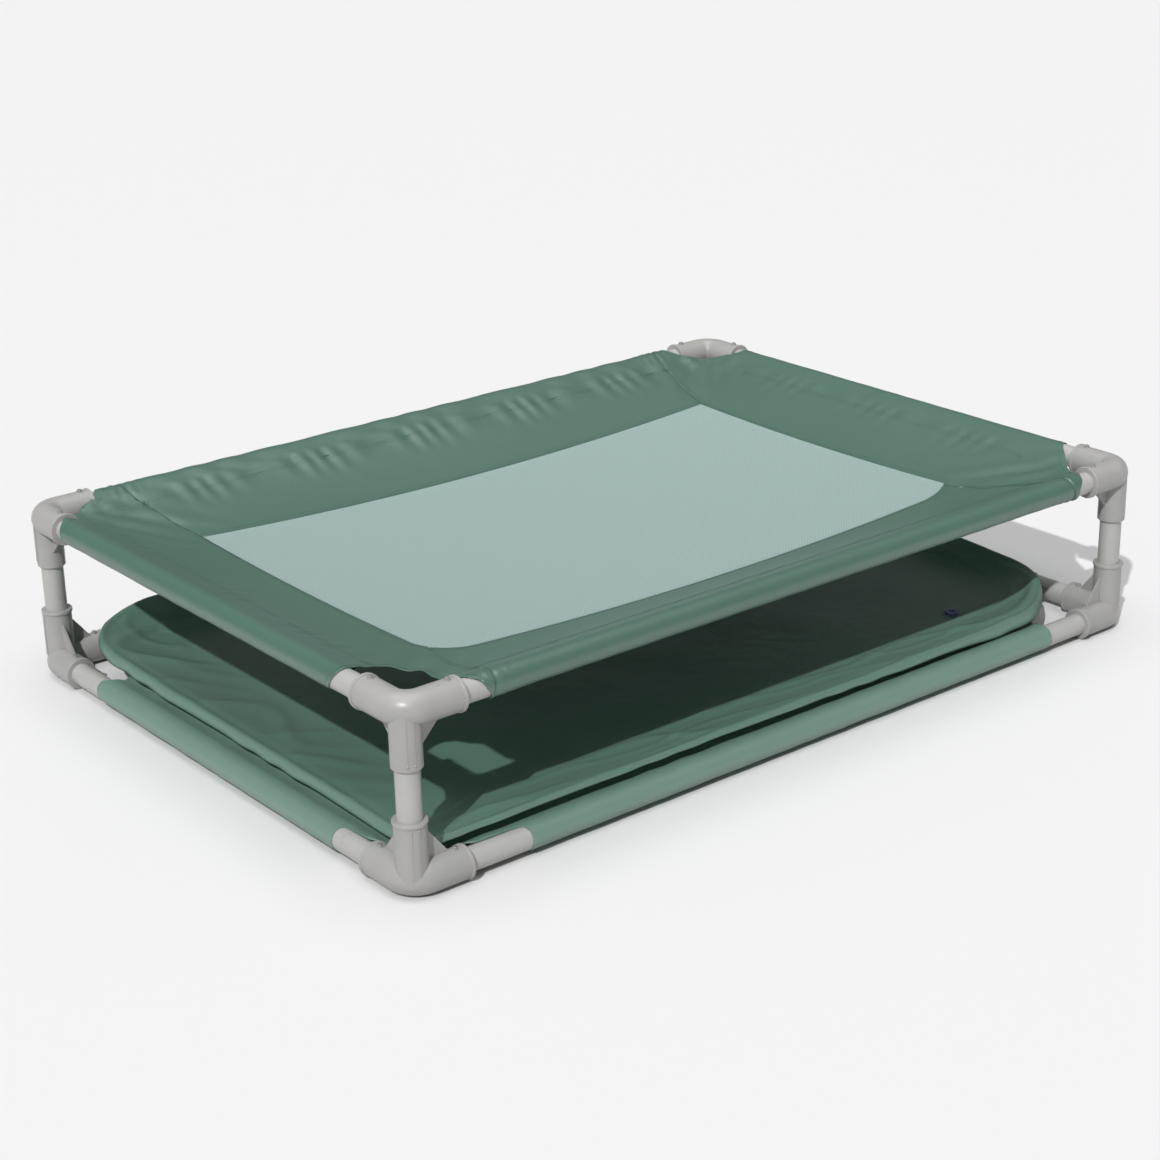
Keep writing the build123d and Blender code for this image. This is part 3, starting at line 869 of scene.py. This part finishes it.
# the rim's height over the floor and the drop of its hem, each by the share of the way round the
# tub from the front side's left end
rim_marks = [
    (0.0, 0.015), (0.03, 0.0155), (0.18, 0.0165), (0.245, 0.018), (0.262, 0.021), (0.285, 0.031),
    (0.32, 0.036), (0.36, 0.034), (0.45, 0.037), (0.53, 0.046), (0.60, 0.050), (0.73, 0.050),
    (0.756, 0.047), (0.775, 0.036), (0.798, 0.025), (0.84, 0.0215), (0.93, 0.0205), (0.97, 0.018),
    (1.0, 0.015),
]
hem_marks = [
    (0.0, 0.007), (0.12, 0.007), (0.22, 0.012), (0.262, 0.019), (0.30, 0.026), (0.36, 0.018), (0.50, 0.016),
    (0.76, 0.016), (0.80, 0.015), (0.96, 0.014), (0.985, 0.010), (1.0, 0.007),
]


def read_off(marks, share):
    """A height read off some marks, eased from mark to mark."""
    for (one, low), (two, high) in zip(marks, marks[1:]):
        if share <= two:
            return low + (high - low) * ease((share - one) / (two - one))
    return marks[-1][1]


def ridge(turns):
    """A narrow fold that comes round once a turn."""
    return math.exp(-7 * math.sin(math.pi * turns) ** 2)


way_round = 3.95


def fold_height(share, rise):
    """The folds of the slumped walls: long and slanting, few at the rim and none on the floor's edge."""
    run = share * way_round
    front = ease((0.29 - share) / 0.03)
    left = ease((share - 0.79) / 0.02)
    drift = 0.25 * math.sin(run * 9) + 0.15 * math.sin(run * 23 + 1)
    long_ones = 0.0044 * ridge(1.3 * rise - run / 0.52 + drift)
    long_ones += 0.0024 * ridge(2.1 * rise - run / 0.31 - drift)
    slants = 0.0042 * ridge(1.15 * rise + run / 0.125 + drift) * (0.5 + 0.5 * math.sin(run * 14 + 1))
    slants += 0.0030 * ridge(0.8 * rise + run / 0.21 - 1.5 * drift)
    deep_ones = 0.0060 * ridge(0.9 * rise - run / 0.29 + drift)
    deep_ones += 0.0030 * ridge(1.7 * rise + run / 0.17 - drift)
    height = front * long_ones + left * slants + (1 - front - left) * deep_ones
    return height * math.sin(math.pi * min(rise, 1)) ** 0.6


floor_rows = 30
wall_rows = 24
hem_rows_of_tub = 6
rows_total = floor_rows + wall_rows + hem_rows_of_tub
floor_left, floor_right, floor_front, floor_back = tub_floor_box
spine_left = floor_left + 0.38
spine_length = 0.328
spine_y = (floor_front + floor_back) / 2
floor_ripple = 0.0014
rim_dip = 0.0014
hem_bulge = 0.004
hem_wave = 0.0012
least_rim = 0.001
tub_form = bmesh.new()
bmesh.ops.create_grid(tub_form, x_segments=steps_round, y_segments=rows_total, size=0.5)
tub_layer = tub_form.loops.layers.uv.new("flat")
places = {}
for vert in tub_form.verts:
    step = (vert.co.x + 0.5) * steps_round
    row = (vert.co.y + 0.5) * rows_total
    share = step / steps_round % 1
    floor_edge = outline(step, tub_floor_box, floor_radii)
    rim_edge = outline(step, tub_rim_box, rim_radii)
    rim = read_off(rim_marks, share)
    if row <= floor_rows:
        # the floor's rings open out from a short line along its middle
        spine_share = (floor_edge.x - floor_left) / (floor_right - floor_left)
        middle = Vector((spine_left + spine_length * spine_share, spine_y))
        spot = middle.lerp(floor_edge, row / floor_rows)
        ripple = 0.5 + 0.5 * math.sin(spot.x * 31 + 2.2 * math.sin(spot.y * 9) + spot.y * 17)
        height = tub_floor + floor_ripple * ripple * math.sin(math.pi * row / floor_rows)
    elif row <= floor_rows + wall_rows:
        rise = (row - floor_rows) / wall_rows
        spot = floor_edge.lerp(rim_edge, rise)
        # the cloth dips a little just before it turns over the hem
        dip = rim_dip * math.exp(-(((rise - 0.9) / 0.05) ** 2))
        height = tub_floor + rim * ease(rise * 0.62 + 0.02) / ease(0.64) + fold_height(share, rise) - dip
    else:
        drop = (row - floor_rows - wall_rows) / hem_rows_of_tub
        outward = (rim_edge - floor_edge).normalized()
        wave = hem_wave * math.sin(share * 240 + 3 * math.sin(share * 70))
        spot = rim_edge + outward * (hem_bulge * math.sin(drop * math.pi * 0.6) + wave * drop)
        height = tub_floor + rim - drop * min(read_off(hem_marks, share), rim - least_rim)
    places[vert] = Vector((*spot, height))
for face in tub_form.faces:
    for loop in face.loops:
        loop[tub_layer].uv = places[loop.vert].xy
for vert, spot in places.items():
    vert.co = spot
bmesh.ops.remove_doubles(tub_form, verts=tub_form.verts, dist=0.00005)
bmesh.ops.recalc_face_normals(tub_form, faces=tub_form.faces)
tub_cloth = cloth_finish("tub_cloth", (102, 137, 122), 0.38, 0.0040, 0.0011)
tub = shown("tub_shell", tub_form, tub_cloth)
tub_thickness = 0.0012
thicken(tub, tub_thickness)
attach(tub, "bed")
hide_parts("tub_liner")


# Drain
# A flanged neck moulded in grey-blue plastic and welded into the tub's floor, with a glossy
# blue-violet push-in plug that has a shallow dish in its cap. Both are faintly clouded in tone.
neck_plastic, neck_shader = coat("neck_plastic", paint(120, 128, 150), 0.42)
# the plug's blue-violet, in its base and in both mottle tones below, is painted lighter than its own colour:
# painted light, for the sun that falls on it at the edge of the sling's shadow
plug_plastic, plug_shader = coat("plug_plastic", paint(88, 94, 158), 0.22)
for material, shader, dark, light in (
    (neck_plastic, neck_shader, (112, 120, 142), (134, 142, 164)),
    (plug_plastic, plug_shader, (74, 80, 144), (104, 110, 174)),
):
    place_on = brush(material, "ShaderNodeTexCoord", {}).outputs["Object"]
    swirl = brush(
        material, "ShaderNodeTexNoise",
        {"Vector": place_on, "Scale": 120, "Detail": 3, "Distortion": 2},
    )
    mottle(material, shader, swirl.outputs["Fac"], paint(*dark), paint(*light))
give("drain_neck", neck_plastic)
give("drain_plug", plug_plastic)
